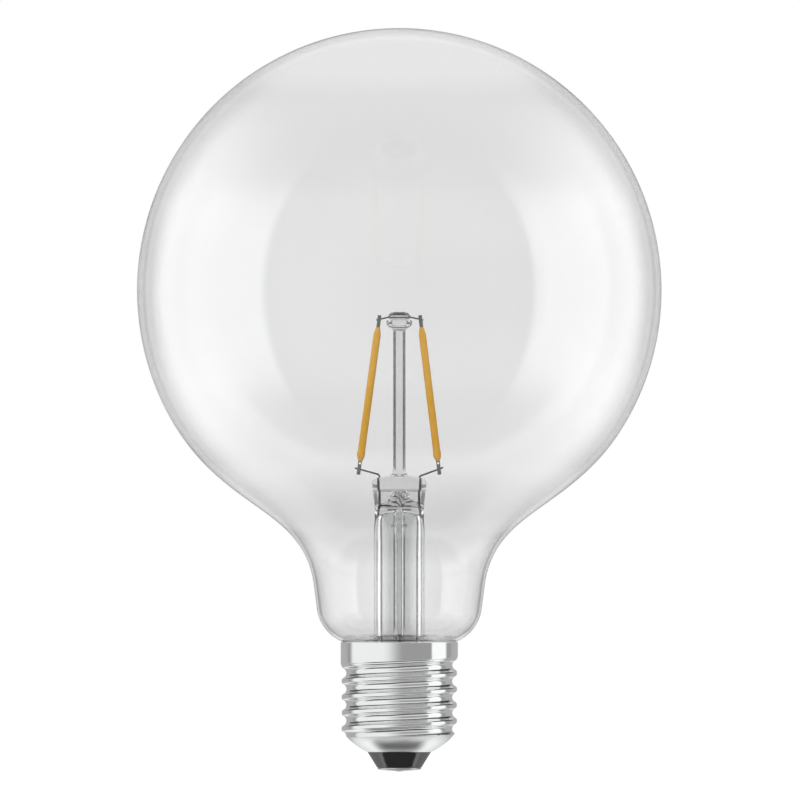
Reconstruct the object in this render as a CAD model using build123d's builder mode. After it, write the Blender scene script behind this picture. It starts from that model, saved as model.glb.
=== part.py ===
from build123d import *
import os
from math import atan2, ceil, cos, degrees, radians, sin, sqrt, tan

# Clear glass globe lamp on an E27 screw cap, with two light-emitting strips on a glass stem.
# Millimetres, +Z up. The origin is the tip of the centre contact, on the lamp's axis, with the cap at
# the bottom. The strips stand in the XZ plane, one on each side of the stem, and are seen from -Y.

# Blown glass globe and its neck
overall_length = 170.0
globe_diameter = 120.0
glass_wall = 0.8
neck_join_angle = 26.0  # degrees below the globe's equator, where the sphere runs into the neck
globe_pull = 0.67  # how far the neck's curve keeps the sphere's direction, as a share of its drop
neck_pull = 0.462  # how far it keeps the neck's direction
neck_diameter = 39.1
neck_height = 13.0  # top of the straight taper, above the cap's rim
neck_taper = 7.4  # degrees
shoulder_height = 7.6  # start of the rounded shoulder, above the cap's rim
seal_diameter = 22.6  # inside the cap, where globe and stem are melted together
seal_depth = 6.6  # below the cap's rim

# Stem: flare tube pinched flat at its top, with an exhaust tube inside
tube_diameter = 11.7
tube_wall = 1.4
flare_lip = 1.0
tube_length = 33.5  # from the seal to the start of the pinch
press_rise = 4.5  # over which the round tube becomes a flat press
press_height = 11.1
press_foot_width = 11.6
press_foot_thickness = 4.0
press_spread = 4.0  # degrees, widening towards the top
press_round = 1.7
bore_into_press = 2.6
bore_end_width = 8.6
bore_end_clearance = 0.15  # round the exhaust tube, where the bore ends
exhaust_diameter = 2.75
exhaust_bore = 1.3
exhaust_socket = 1.9  # depth of the exhaust tube in the press
exhaust_tail_clearance = 2.44  # below its sealed tail, over the resistor's lead
vent_height = 4.1  # vent in the front of the press, above the bore's end
vent_diameter = 1.6

# Stem column with its button
column_diameter = 2.9
column_length = 33.5  # from the press to the button
column_socket = 2.2
button_height = 4.0
button_diameter = 5.9
button_shoulder = 5.44
button_top_diameter = 3.84
button_foot = 1.1

# Support wires
lead_diameter = 0.4
lead_reach = 4.55  # from the axis, where the wires leave the press
lead_drop_reach = 4.15  # from the axis, inside the tube
hook_end = 1.05  # wire beyond the weld
hook_bend_radius = 0.7
jumper_diameter = 0.35
jumper_drop = 1.0  # below the button's top
jumper_straight = 3.0
jumper_end = 0.75
jumper_bend_radius = 1.2
weld_height = 1.5  # foot weld above the press
head_weld_drop = 1.7  # head weld below the button's top

# Light-emitting strips: a coated ceramic strip with a metal tab at each end
tab_width = 0.85
tab_thickness = 0.2
tab_past_foot = 1.25
tab_past_head = 0.95
tab_bare = 1.8  # from the weld to the coat
tab_in_coat = 0.7
tab_hole_diameter = 0.5
tab_hole_height = 1.35
coat_width = 1.7
coat_thickness = 1.4
coat_tip_width = 1.0
coat_tip_thickness = 0.6
coat_foot_taper = 1.4  # length of the drawn-in tip at the foot
coat_head_taper = 2.0
strip_width = 0.8
strip_thickness = 0.4
chip_length = 0.5
chip_width = 0.3
chip_height = 0.15
chip_pitch = 1.0

# Rolled sheet-metal screw shell
cap_height = 29.6
shell_wall = 0.3
thread_diameter = 26.4
thread_root_diameter = 24.2
skirt_diameter = 26.8
thread_pitch = 3.629
crest_radius = 0.75
crest_trim = 0.05  # what the blank's cylinder takes off the crest arcs
groove_overrun = 0.5
groove_drop = 5.3  # topmost full groove, below the rim
runout_turns = 0.3
skirt_step = 0.75  # foot of the skirt, below the topmost full groove
hem_diameter = 14.9
hem_hole_diameter = 13.0
bowl_height = 4.84
bowl_radius = 16.0
cement_recess = 0.5
cement_clearance = 0.1
mouth_clearance = 0.3  # between glass and shell at the rim

# Insulator and centre contact
insulator_height = 3.56  # bare cone between the contact and the shell
insulator_top_diameter = 14.6
insulator_foot_diameter = 10.3
insulator_fill = 2.9  # inside the shell, above its hem
insulator_hole_diameter = 3.2
contact_height = 0.9
contact_diameter = 10.0
contact_edge = 0.35
contact_dish = 0.3
solder_diameter = 3.2
solder_shank_diameter = 1.0
solder_shank_rise = 0.3

# Driver inside the cap
board_width = 17.2
board_height = 12.6
board_thickness = 1.0
board_front = 2.5  # from the axis
wire_pad_reach = 7.8
wire_pad_length = 2.4
wire_pad_rise = 0.8
wire_turn_drop = 1.0  # wires turn out of the tube this far above the seal
wire_bend_radius = 0.9
resistor_diameter = 2.2
resistor_length = 5.6
resistor_lift = 1.2
resistor_lead_diameter = 0.6
resistor_lead_rise = 1.6
capacitor_diameter = 6.3
capacitor_length = 11.0
capacitor_round = 0.4
capacitor_gap = 0.05
capacitor_lead_pitch = 2.5
capacitor_lead_reach = 1.4
choke_diameter = 5.2
choke_length = 4.4
choke_flange = 0.8
choke_waist_diameter = 2.4
choke_winding_diameter = 4.6
choke_reach = 4.8
chip_package_width = 4.9
chip_package_height = 3.9
driver_chip_depth = 1.5
rectifier_depth = 2.4
package_reach = 4.9
package_leg = 0.5
package_leg_width = 0.4
package_leg_pitch = 1.27
package_spacing = 5.4
neutral_diameter = 0.6

# Levels and radii that follow from those sizes
globe_radius = globe_diameter / 2
globe_centre_z = overall_length - globe_radius
tube_radius = tube_diameter / 2
tube_bore_radius = tube_radius - tube_wall
seal_radius = seal_diameter / 2
seal_z = cap_height - seal_depth
flare_radius = seal_radius - flare_lip - tube_radius
press_foot_z = seal_z + tube_length
press_top_z = press_foot_z + press_height
bore_end_z = press_foot_z + bore_into_press
button_foot_z = press_top_z + column_length
button_top_z = button_foot_z + button_height
jumper_z = button_top_z - jumper_drop
foot_weld_z = press_top_z + weld_height
head_weld_z = button_top_z - head_weld_drop
tab_back_y = -lead_diameter / 2
strip_y = tab_back_y - tab_thickness / 2
shell_radius = thread_diameter / 2
skirt_radius = skirt_diameter / 2
hem_z = contact_height + insulator_height
bowl_edge_z = hem_z + bowl_height
groove_top_z = cap_height - groove_drop
insulator_top_z = hem_z + insulator_fill
board_top_z = insulator_top_z + board_height
board_middle_z = insulator_top_z + board_height / 2
board_back = board_front + board_thickness
rectifier_z = board_middle_z - package_spacing / 2
driver_chip_z = board_middle_z + package_spacing / 2
resistor_foot_z = insulator_top_z + resistor_lift
resistor_top_z = resistor_foot_z + resistor_length
resistor_bend_z = resistor_top_z + resistor_lead_rise
SIDES = {"left": -1, "right": 1}
# The two strips are set by hand, so their welds and hooks differ a little from side to side.
FOOT_REACH = {"left": 9.2, "right": 9.05}
HEAD_REACH = {"left": 4.6, "right": 4.85}
HOOK_SLOPE = {"left": 15.0, "right": 20.0}  # degrees


def round_bar(points, diameter, radius):
    """A wire of round section along straight runs joined by arcs."""
    with BuildPart() as bar:
        with BuildLine() as route:
            FilletPolyline(*points, radius=radius)
        with BuildSketch(Plane(origin=route.line @ 0, z_dir=route.line % 0)):
            Circle(diameter / 2)
        sweep(path=route.line)
    return bar.part


def make_globe():
    """The blown globe: a sphere that runs into a tapered neck and turns in under the cap's rim."""
    angle = radians(neck_join_angle)
    taper = radians(neck_taper)
    join = Vector(globe_radius * cos(angle), globe_centre_z - globe_radius * sin(angle))
    neck = Vector(neck_diameter / 2, cap_height + neck_height)
    drop = join.Y - neck.Y
    shoulder = neck - Vector(tan(taper), 1) * (neck_height - shoulder_height)
    mouth = Vector(skirt_radius - shell_wall - mouth_clearance, cap_height)
    with BuildPart() as globe:
        with BuildSketch(Plane.XZ):
            with BuildLine():
                CenterArc((0, globe_centre_z), globe_radius, -neck_join_angle, 90 + neck_join_angle)
                Bezier(
                    join,
                    join - Vector(sin(angle), cos(angle)) * (globe_pull * drop),
                    neck + Vector(sin(taper), cos(taper)) * (neck_pull * drop),
                    neck,
                )
                Line(neck, shoulder)
                rounding = TangentArc(shoulder, mouth, tangent=(-sin(taper), -cos(taper)))
                slope = rounding % 1
                turn_in = (mouth.X - seal_radius) / (1 + slope.Y)
                throat = JernArc(mouth, slope, turn_in, degrees(atan2(-slope.X, -slope.Y)))
                Polyline(throat @ 1, (seal_radius, seal_z), (0, seal_z), (0, overall_length))
            make_face()
        revolve(axis=Axis.Z)
        offset(amount=-glass_wall, openings=globe.faces().sort_by(Axis.Z)[0])
    return globe.part


def make_column():
    """Solid glass rod with the button at its top that holds the jumper wire."""
    foot_z = press_top_z - column_socket
    radius = column_diameter / 2
    with BuildPart() as column:
        with BuildSketch(Plane.XZ):
            with BuildLine():
                Polyline((0, button_top_z), (0, foot_z), (radius, foot_z), (radius, button_foot_z))
                belly = (button_diameter / 2, button_foot_z + button_foot + button_height / 4)
                shoulder = (button_shoulder / 2, button_top_z - (button_shoulder - button_top_diameter) / 2)
                crown = (button_top_diameter / 2, button_top_z)
                low = TangentArc((radius, button_foot_z), belly, tangent=(1, 0))
                Line(low @ 1, shoulder)
                TangentArc(crown, shoulder, tangent=(1, 0))
                Line(crown, (0, button_top_z))
            make_face()
        revolve(axis=Axis.Z)
        add(make_jumper(), mode=Mode.SUBTRACT)
    return column.part


def make_jumper():
    """Wire through the button, which joins the heads of the two strips."""
    y = tab_back_y + jumper_diameter / 2
    ends = []
    for name, side in SIDES.items():
        slope = (jumper_z - head_weld_z) / (HEAD_REACH[name] - jumper_straight / 2)
        reach = HEAD_REACH[name] + jumper_end
        ends.append((side * reach, y, head_weld_z - slope * jumper_end))
    half = jumper_straight / 2
    points = [ends[0], (-half, y, jumper_z), (half, y, jumper_z), ends[1]]
    return round_bar(points, jumper_diameter, jumper_bend_radius)


def make_lead(name):
    """Lead wire: welded to a strip's foot, sealed in the press, and led down to the driver board."""
    side = SIDES[name]
    slope = tan(radians(HOOK_SLOPE[name]))
    bend_z = foot_weld_z - slope * (FOOT_REACH[name] - lead_reach)
    end_reach = FOOT_REACH[name] + hook_end
    pad_y = board_front - lead_diameter / 2
    points = [
        (side * end_reach, 0, bend_z + slope * (end_reach - lead_reach)),
        (side * lead_reach, 0, bend_z),
        (side * lead_drop_reach, 0, bore_end_z),
        (side * lead_drop_reach, 0, seal_z + wire_turn_drop),
        (side * wire_pad_reach, pad_y, board_top_z + wire_pad_rise),
        (side * wire_pad_reach, pad_y, board_top_z - wire_pad_length),
    ]
    radii = [hook_bend_radius, wire_bend_radius, wire_bend_radius, wire_bend_radius]
    return round_bar(points, lead_diameter, radii)


def make_exhaust_tube():
    """Thin tube inside the stem, through which the globe was pumped; its tail is melted shut."""
    top_z = bore_end_z + exhaust_socket
    tail_z = resistor_bend_z + resistor_lead_diameter / 2 + exhaust_tail_clearance
    radius = exhaust_diameter / 2
    with BuildPart() as tube:
        with BuildSketch(Plane.XZ):
            with BuildLine():
                Line((0, top_z), (radius, top_z))
                Line((radius, top_z), (radius, tail_z + radius))
                RadiusArc((radius, tail_z + radius), (0, tail_z), radius)
                Line((0, tail_z), (0, top_z))
            make_face()
        revolve(axis=Axis.Z)
        bore_length = top_z - tail_z - exhaust_diameter
        with Locations((0, 0, top_z)):
            Hole(exhaust_bore / 2, depth=bore_length)
    return tube.part


def make_stem_flare(leads):
    """Glass tube with a bell at its foot, and a flat press at its top that grips wires and column."""
    bell_z = seal_z + flare_radius
    bell_x = tube_radius + flare_radius
    lip_z = seal_z - tube_wall
    pinch_z = press_foot_z + press_rise
    with BuildPart() as stem:
        with BuildSketch(Plane.XY.offset(pinch_z)):
            SlotOverall(press_foot_width, press_foot_thickness)
        extrude(amount=press_top_z - pinch_z, taper=-press_spread)
        fillet(stem.faces().sort_by(Axis.Z)[-1].edges(), press_round)
        with BuildSketch(Plane.XZ):
            with BuildLine():
                Line((0, press_foot_z), (tube_radius, press_foot_z))
                Line((tube_radius, press_foot_z), (tube_radius, bell_z))
                TangentArc((tube_radius, bell_z), (bell_x, seal_z), tangent=(0, -1))
                Polyline((bell_x, seal_z), (seal_radius, seal_z), (seal_radius, lip_z), (bell_x, lip_z))
                TangentArc((tube_bore_radius, bell_z), (bell_x, lip_z), tangent=(0, -1))
                Polyline((tube_bore_radius, bell_z), (0, bell_z), (0, press_foot_z))
            make_face()
        revolve(axis=Axis.Z)
        with BuildSketch(Plane.XY.offset(press_foot_z)):
            Circle(tube_radius)
        with BuildSketch(Plane.XY.offset(pinch_z)):
            SlotOverall(press_foot_width, press_foot_thickness)
        loft()
        with BuildSketch(Plane.XY.offset(bell_z)):
            Circle(tube_bore_radius)
        extrude(amount=press_foot_z - bell_z, mode=Mode.SUBTRACT)
        with BuildSketch(Plane.XY.offset(press_foot_z)):
            Circle(tube_bore_radius)
        with BuildSketch(Plane.XY.offset(bore_end_z)):
            SlotOverall(bore_end_width, exhaust_diameter + 2 * bore_end_clearance)
        loft(mode=Mode.SUBTRACT)
        with BuildSketch(Plane.XY.offset(bore_end_z)):
            Circle(exhaust_diameter / 2)
        extrude(amount=exhaust_socket, mode=Mode.SUBTRACT)
        with BuildSketch(Plane.XY.offset(bore_end_z)):
            Circle(exhaust_bore / 2)
        extrude(amount=vent_height, mode=Mode.SUBTRACT)
        with BuildSketch(Plane.XZ):
            with Locations((0, bore_end_z + vent_height)):
                Circle(vent_diameter / 2)
        extrude(amount=tube_diameter, mode=Mode.SUBTRACT)
        with BuildSketch(Plane.XY.offset(press_top_z)):
            Circle(column_diameter / 2)
        extrude(amount=-column_socket, mode=Mode.SUBTRACT)
        add(leads, mode=Mode.SUBTRACT)
    return stem.part


def strip_frame(name):
    """Plane at a strip's foot weld, with its normal along the strip; gives the span between the welds."""
    side = SIDES[name]
    foot = Vector(side * FOOT_REACH[name], strip_y, foot_weld_z)
    head = Vector(side * HEAD_REACH[name], strip_y, head_weld_z)
    along = (head - foot).normalized()
    return Plane(origin=foot, x_dir=(along.Z, 0, -along.X), z_dir=along), (head - foot).length


def make_tab(frame, start, end):
    """Flat metal tab that is welded to a wire and runs into the coat."""
    with BuildPart() as tab:
        with BuildSketch(frame.offset(start)):
            Rectangle(tab_width, tab_thickness)
        extrude(amount=end - start)
    return tab.part


def make_foot_tab(frame, root):
    """Tab at the foot, with a small hole between its weld and the coat that marks the strip's polarity."""
    hole = frame.from_local_coords((0, 0, tab_hole_height))
    with BuildPart() as tab:
        add(make_tab(frame, -tab_past_foot, root))
        with BuildSketch(Plane(origin=hole, x_dir=frame.x_dir, z_dir=frame.y_dir)):
            Circle(tab_hole_diameter / 2)
        extrude(amount=tab_thickness, both=True, mode=Mode.SUBTRACT)
    return tab.part


def make_strip(frame, start, length):
    """Ceramic strip that carries the chips."""
    with BuildPart() as strip:
        with BuildSketch(frame.offset(start)):
            Rectangle(strip_width, strip_thickness)
        extrude(amount=length)
    return strip.part


def make_chips(frame, start, length):
    """Row of light-emitting chips on the front of the strip."""
    count = int((length - chip_length) / chip_pitch)
    front = frame.from_local_coords((0, -strip_thickness / 2, start + length / 2))
    face = Plane(origin=front, x_dir=frame.z_dir, z_dir=-frame.y_dir)
    with BuildPart() as chips:
        with BuildSketch(face):
            with GridLocations(chip_pitch, strip_width, count, 1):
                Rectangle(chip_length, chip_width)
        extrude(amount=chip_height)
    return chips.part


def make_coat(frame, start, length, cores):
    """Yellow phosphor coat, moulded round the strip, its chips and the roots of its tabs."""
    body = (coat_width, coat_thickness)
    tip = (coat_tip_width, coat_tip_thickness)
    stations = {0: tip, coat_foot_taper: body, length - coat_head_taper: body, length: tip}
    with BuildPart() as coat:
        for along, (width, thickness) in stations.items():
            with BuildSketch(frame.offset(start + along)):
                Ellipse(width / 2, thickness / 2)
        loft(ruled=True)
        add(cores, mode=Mode.SUBTRACT)
    return coat.part


def make_light_strip(name):
    """One light-emitting strip: two tabs, the ceramic strip, its chips and the coat over them."""
    frame, span = strip_frame(name)
    coat_length = span - 2 * tab_bare
    root = tab_bare + tab_in_coat
    foot_tab = make_foot_tab(frame, root)
    head_tab = make_tab(frame, span - root, span + tab_past_head)
    strip = make_strip(frame, root, span - 2 * root)
    chips = make_chips(frame, root, span - 2 * root)
    coat = make_coat(frame, tab_bare, coat_length, [foot_tab, head_tab, strip, chips])
    return {
        f"{name}_strip_foot_tab": foot_tab,
        f"{name}_strip_head_tab": head_tab,
        f"{name}_strip_ceramic": strip,
        f"{name}_strip_chips": chips,
        f"{name}_strip_coat": coat,
    }


def bowl_centre():
    """Centre of the arc that rounds the shell's foot, from its edge to its hem."""
    chord = Vector(shell_radius - hem_diameter / 2, bowl_height)
    middle = Vector(hem_diameter / 2, hem_z) + chord * 0.5
    reach = sqrt(bowl_radius**2 - (chord.length / 2) ** 2)
    return middle + Vector(-chord.Y, chord.X).normalized() * reach


def make_blank(radius, inset, top_z):
    """Plain turned body of the shell before its thread is rolled, or its hollow when inset by the wall."""
    centre = bowl_centre()
    bowl_r = bowl_radius - inset
    edge_r = radius - inset
    edge = (edge_r, centre.Y - sqrt(bowl_r**2 - (edge_r - centre.X) ** 2))
    foot_z = hem_z + inset
    foot = (centre.X + sqrt(bowl_r**2 - (centre.Y - foot_z) ** 2), foot_z)
    with BuildPart() as blank:
        with BuildSketch(Plane.XZ):
            with BuildLine():
                Polyline((0, foot_z), (0, top_z), (edge_r, top_z), edge)
                RadiusArc(edge, foot, bowl_r)
                Line(foot, (0, foot_z))
            make_face()
        revolve(axis=Axis.Z)
    return blank.part


def groove_section(path, inset):
    """Section of the rolled groove at a helix's start: a root arc that runs into two crest arcs."""
    depth = (thread_diameter - thread_root_diameter) / 2 + crest_trim
    half = thread_pitch / 2
    arcs = (depth**2 + half**2) / (2 * depth)
    root = arcs - crest_radius
    low = root + inset
    high = crest_radius - inset
    meet = (root + low * (depth - arcs) / arcs, low * half / arcs)
    brow_x = depth - inset - crest_trim / 5
    brow_y = half - sqrt(high**2 - (brow_x - depth + crest_radius) ** 2)
    out = depth + groove_overrun
    with BuildSketch(Plane(origin=path @ 0, x_dir=(1, 0, 0), z_dir=path % 0)) as section:
        with BuildLine():
            ThreePointArc((meet[0], -meet[1]), (-inset, 0), meet)
            RadiusArc(meet, (brow_x, brow_y), -high)
            Polyline((brow_x, brow_y), (out, brow_y), (out, -brow_y), (brow_x, -brow_y))
            RadiusArc((brow_x, -brow_y), (meet[0], -meet[1]), -high)
        make_face()
    return section.sketch


def make_threaded(radius, inset, top_z):
    """Blank with the helical groove rolled into it; the groove starts in the bowl and fades out above."""
    root_radius = thread_root_diameter / 2
    turns = ceil((groove_top_z - bowl_edge_z) / thread_pitch + 0.5)
    foot_z = groove_top_z - turns * thread_pitch
    fade_rise = runout_turns * thread_pitch
    fade_out = skirt_radius + groove_overrun - root_radius
    fade_cone = degrees(atan2(fade_out, fade_rise))
    helix = Helix(thread_pitch, turns * thread_pitch, root_radius, center=(0, 0, foot_z))
    fade = Helix(thread_pitch, fade_rise, root_radius, center=(0, 0, groove_top_z), cone_angle=fade_cone)
    with BuildPart() as threaded:
        add(make_blank(radius, inset, top_z))
        sweep(groove_section(helix, inset), path=Wire([helix, fade]), is_frenet=True, mode=Mode.SUBTRACT)
    return threaded.part


def make_rolled(inset, top_z):
    """The rolled body, or its hollow: the thread's crest below, and the slightly wider skirt above."""
    step = Plane.XY.offset(groove_top_z - skirt_step + inset)
    with BuildPart() as skirt:
        add(make_threaded(skirt_radius, inset, top_z))
        split(bisect_by=step, keep=Keep.TOP)
    with BuildPart() as rolled:
        add(make_threaded(shell_radius, inset, top_z))
        split(bisect_by=step, keep=Keep.BOTTOM)
        add(skirt.part)
    return rolled.part


def make_shell():
    """Screw shell: sheet metal of even wall, with the round thread rolled into it and a hole in its hem."""
    with BuildPart() as shell:
        add(make_rolled(0, cap_height))
        add(make_rolled(shell_wall, cap_height + shell_wall), mode=Mode.SUBTRACT)
        with BuildSketch(Plane.XY.offset(hem_z)):
            Circle(hem_hole_diameter / 2)
        extrude(amount=shell_wall, mode=Mode.SUBTRACT)
    return shell.part


def make_cement(globe):
    """Ring of cement that holds the globe's neck in the shell."""
    foot_z = groove_top_z + (runout_turns + 0.5) * thread_pitch + cement_clearance
    with BuildPart() as cement:
        with BuildSketch(Plane.XY.offset(foot_z)):
            Circle(skirt_radius - shell_wall)
            Circle(seal_radius - glass_wall, mode=Mode.SUBTRACT)
        extrude(amount=cap_height - cement_recess - foot_z)
        add(globe, mode=Mode.SUBTRACT)
    return cement.part.solids().sort_by(SortBy.VOLUME)[-1]


def make_insulator():
    """Black glass that fills the shell's foot and stands out below it as a cone."""
    with BuildPart() as insulator:
        add(make_blank(shell_radius, shell_wall, cap_height))
        split(bisect_by=Plane.XY.offset(insulator_top_z), keep=Keep.BOTTOM)
        with BuildSketch(Plane.XY.offset(hem_z)):
            Circle(hem_hole_diameter / 2)
        extrude(amount=shell_wall)
        with BuildSketch(Plane.XZ):
            with BuildLine():
                top = (insulator_top_diameter / 2, hem_z)
                foot = (insulator_foot_diameter / 2, contact_height)
                Polyline((0, hem_z), top, foot, (0, contact_height), close=True)
            make_face()
        revolve(axis=Axis.Z)
        with BuildSketch(Plane.XY.offset(contact_height)):
            Circle(insulator_hole_diameter / 2)
        extrude(amount=insulator_top_z - contact_height, mode=Mode.SUBTRACT)
    return insulator.part


def contact_floor(radius):
    """Height of the dished contact plate's underside at a radius."""
    return contact_dish * (2 * radius / contact_diameter) ** 2 + contact_edge / 2


def make_contact():
    """Round contact plate, dished a little, with a hole for the solder."""
    rim = contact_diameter / 2
    with BuildPart() as contact:
        with BuildSketch(Plane.XZ):
            with BuildLine():
                Line((0, contact_height), (rim, contact_height))
                Line((rim, contact_height), (rim, contact_floor(rim)))
                ThreePointArc(
                    (rim, contact_floor(rim)), (0, contact_floor(0)), (-rim, contact_floor(rim))
                )
                Line((-rim, contact_floor(rim)), (-rim, contact_height))
                Line((-rim, contact_height), (0, contact_height))
            make_face()
            split(bisect_by=Plane.YZ)
        revolve(axis=Axis.Z)
        with Locations((0, 0, contact_height)):
            Hole(solder_shank_diameter / 2)
    return contact.part


def make_solder(contact):
    """Bead of solder in the middle of the contact, run up its hole to the wire."""
    with BuildPart() as solder:
        with BuildSketch(Plane.XZ):
            with BuildLine():
                rim = solder_diameter / 2
                ThreePointArc((-rim, contact_edge), (0, 0), (rim, contact_edge))
                Line((rim, contact_edge), (-rim, contact_edge))
            make_face()
            split(bisect_by=Plane.YZ)
        revolve(axis=Axis.Z)
        with BuildSketch(Plane.XY.offset(contact_edge / 2)):
            Circle(solder_shank_diameter / 2)
        extrude(amount=contact_height + solder_shank_rise - contact_edge / 2)
        add(contact, mode=Mode.SUBTRACT)
    return solder.part


def make_board():
    """Driver board, standing on the insulator."""
    middle = (0, board_front + board_thickness / 2)
    with BuildPart() as board:
        with BuildSketch(Plane.XY.offset(insulator_top_z)):
            with Locations(middle):
                Rectangle(board_width, board_thickness)
        extrude(amount=board_height)
    return board.part


def make_package(z, depth, legs):
    """Flat chip package on the front of the board, with gull legs along its top and bottom edges."""
    face = Plane(origin=(-package_reach, board_front, z), x_dir=(1, 0, 0), z_dir=(0, -1, 0))
    with BuildPart() as package:
        with BuildSketch(face):
            Rectangle(chip_package_width, chip_package_height)
        extrude(amount=depth)
        fillet(package.faces().sort_by(Axis.Y)[0].edges(), package_leg_width / 2)
        with BuildSketch(face):
            with GridLocations(package_leg_pitch, chip_package_height + package_leg, legs, 2):
                Rectangle(package_leg_width, package_leg)
        extrude(amount=package_leg)
    return package.part


def make_choke():
    """Ferrite drum and its winding, flat on the front of the board."""
    face = Plane(origin=(choke_reach, board_front, board_middle_z), z_dir=(0, -1, 0))
    waist = choke_length - 2 * choke_flange
    with BuildPart() as core:
        with BuildSketch(face):
            Circle(choke_diameter / 2)
        extrude(amount=choke_length)
        with BuildSketch(face.offset(choke_flange)):
            Circle(choke_diameter / 2)
            Circle(choke_waist_diameter / 2, mode=Mode.SUBTRACT)
        extrude(amount=waist, mode=Mode.SUBTRACT)
    with BuildPart() as winding:
        with BuildSketch(face.offset(choke_flange)):
            Circle(choke_winding_diameter / 2)
            Circle(choke_waist_diameter / 2, mode=Mode.SUBTRACT)
        extrude(amount=waist)
    return core.part, winding.part


def make_capacitor():
    """Smoothing capacitor, lying along the back of the board, with its two leads."""
    radius = capacitor_diameter / 2
    y = board_back + capacitor_gap + radius
    z = board_middle_z
    end_x = -capacitor_length / 2
    with BuildPart() as can:
        with BuildSketch(Plane(origin=(end_x, y, z), z_dir=(1, 0, 0))):
            Circle(radius)
        extrude(amount=capacitor_length)
        fillet(can.edges().filter_by(GeomType.CIRCLE), capacitor_round)
    out_x = end_x - capacitor_lead_reach
    leads = []
    for lead_z in (z - capacitor_lead_pitch / 2, z + capacitor_lead_pitch / 2):
        points = [(end_x, y, lead_z), (out_x, y, lead_z), (out_x, board_back, lead_z)]
        leads.append(round_bar(points, resistor_lead_diameter, resistor_lead_diameter))
    return can.part, Compound(children=leads)


def make_resistor():
    """Fusible resistor on the lamp's axis, between the centre contact and the board."""
    radius = resistor_diameter / 2
    with BuildPart() as body:
        with BuildSketch(Plane.XY.offset(resistor_foot_z)):
            Circle(radius)
        extrude(amount=resistor_length)
        fillet(body.edges(), radius / 2)
    foot_z = contact_height + solder_shank_rise
    with BuildPart() as lower:
        with BuildSketch(Plane.XY.offset(foot_z)):
            Circle(resistor_lead_diameter / 2)
        extrude(amount=resistor_foot_z - foot_z)
    points = [(0, 0, resistor_top_z), (0, 0, resistor_bend_z), (0, board_front, resistor_bend_z)]
    upper = round_bar(points, resistor_lead_diameter, resistor_lead_diameter)
    return body.part, lower.part, upper


def make_neutral_wire():
    """Wire from the board, beside the rectifier, to the groove's root that is nearest in height."""
    turns = round((groove_top_z - rectifier_z) / thread_pitch - 0.5) + 0.5
    z = groove_top_z - turns * thread_pitch
    y = board_front / 2
    end = thread_root_diameter / 2 - shell_wall
    end_x = -sqrt(end**2 - (y + neutral_diameter / 2) ** 2)
    points = [(-wire_pad_reach, board_front, z), (-wire_pad_reach, y, z), (end_x, y, z)]
    return round_bar(points, neutral_diameter, neutral_diameter)


globe = make_globe()
leads = {name: make_lead(name) for name in SIDES}
contact = make_contact()
choke_core, choke_winding = make_choke()
capacitor, capacitor_leads = make_capacitor()
resistor, live_wire, resistor_lead = make_resistor()
nodes = {
    "glass_globe": globe,
    "stem_flare": make_stem_flare(list(leads.values())),
    "exhaust_tube": make_exhaust_tube(),
    "stem_column": make_column(),
    "jumper_wire": make_jumper(),
    "left_lead_wire": leads["left"],
    "right_lead_wire": leads["right"],
    **make_light_strip("left"),
    **make_light_strip("right"),
    "cap_shell": make_shell(),
    "cap_cement": make_cement(globe),
    "cap_insulator": make_insulator(),
    "contact_plate": contact,
    "contact_solder": make_solder(contact),
    "live_wire": live_wire,
    "fusible_resistor": resistor,
    "resistor_lead": resistor_lead,
    "neutral_wire": make_neutral_wire(),
    "driver_board": make_board(),
    "bridge_rectifier": make_package(rectifier_z, rectifier_depth, 2),
    "driver_chip": make_package(driver_chip_z, driver_chip_depth, 4),
    "choke_core": choke_core,
    "choke_winding": choke_winding,
    "smoothing_capacitor": capacitor,
    "capacitor_leads": capacitor_leads,
}

os.makedirs("parts", exist_ok=True)
for label, piece in nodes.items():
    piece.label = label
    export_step(piece, f"parts/{label}.step")
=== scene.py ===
from math import cos, pi, radians, sin, tan

import bpy
import numpy as np
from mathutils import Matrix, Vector


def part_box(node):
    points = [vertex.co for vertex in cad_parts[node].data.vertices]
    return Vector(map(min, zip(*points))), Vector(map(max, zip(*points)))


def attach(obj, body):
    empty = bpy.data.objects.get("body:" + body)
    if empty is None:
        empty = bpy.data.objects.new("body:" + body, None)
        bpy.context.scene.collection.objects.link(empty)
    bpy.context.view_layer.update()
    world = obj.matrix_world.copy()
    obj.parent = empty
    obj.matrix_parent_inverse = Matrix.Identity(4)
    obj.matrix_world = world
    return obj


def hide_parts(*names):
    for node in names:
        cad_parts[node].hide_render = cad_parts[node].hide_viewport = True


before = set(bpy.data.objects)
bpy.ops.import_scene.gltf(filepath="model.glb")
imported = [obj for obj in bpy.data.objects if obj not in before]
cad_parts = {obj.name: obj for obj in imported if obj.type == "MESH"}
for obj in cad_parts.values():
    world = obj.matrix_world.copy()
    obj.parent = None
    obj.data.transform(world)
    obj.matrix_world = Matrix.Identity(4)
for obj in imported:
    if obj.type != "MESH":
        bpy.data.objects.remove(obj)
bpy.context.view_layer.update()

# Clear globe lamp on a screw cap, in the order in which its maker puts it together. Sizes are millimetres
# until a mesh is made, and a pair is a radius and a height unless a comment says otherwise. +Z runs from the
# contact to the top of the globe, and the camera looks along +Y.

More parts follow.
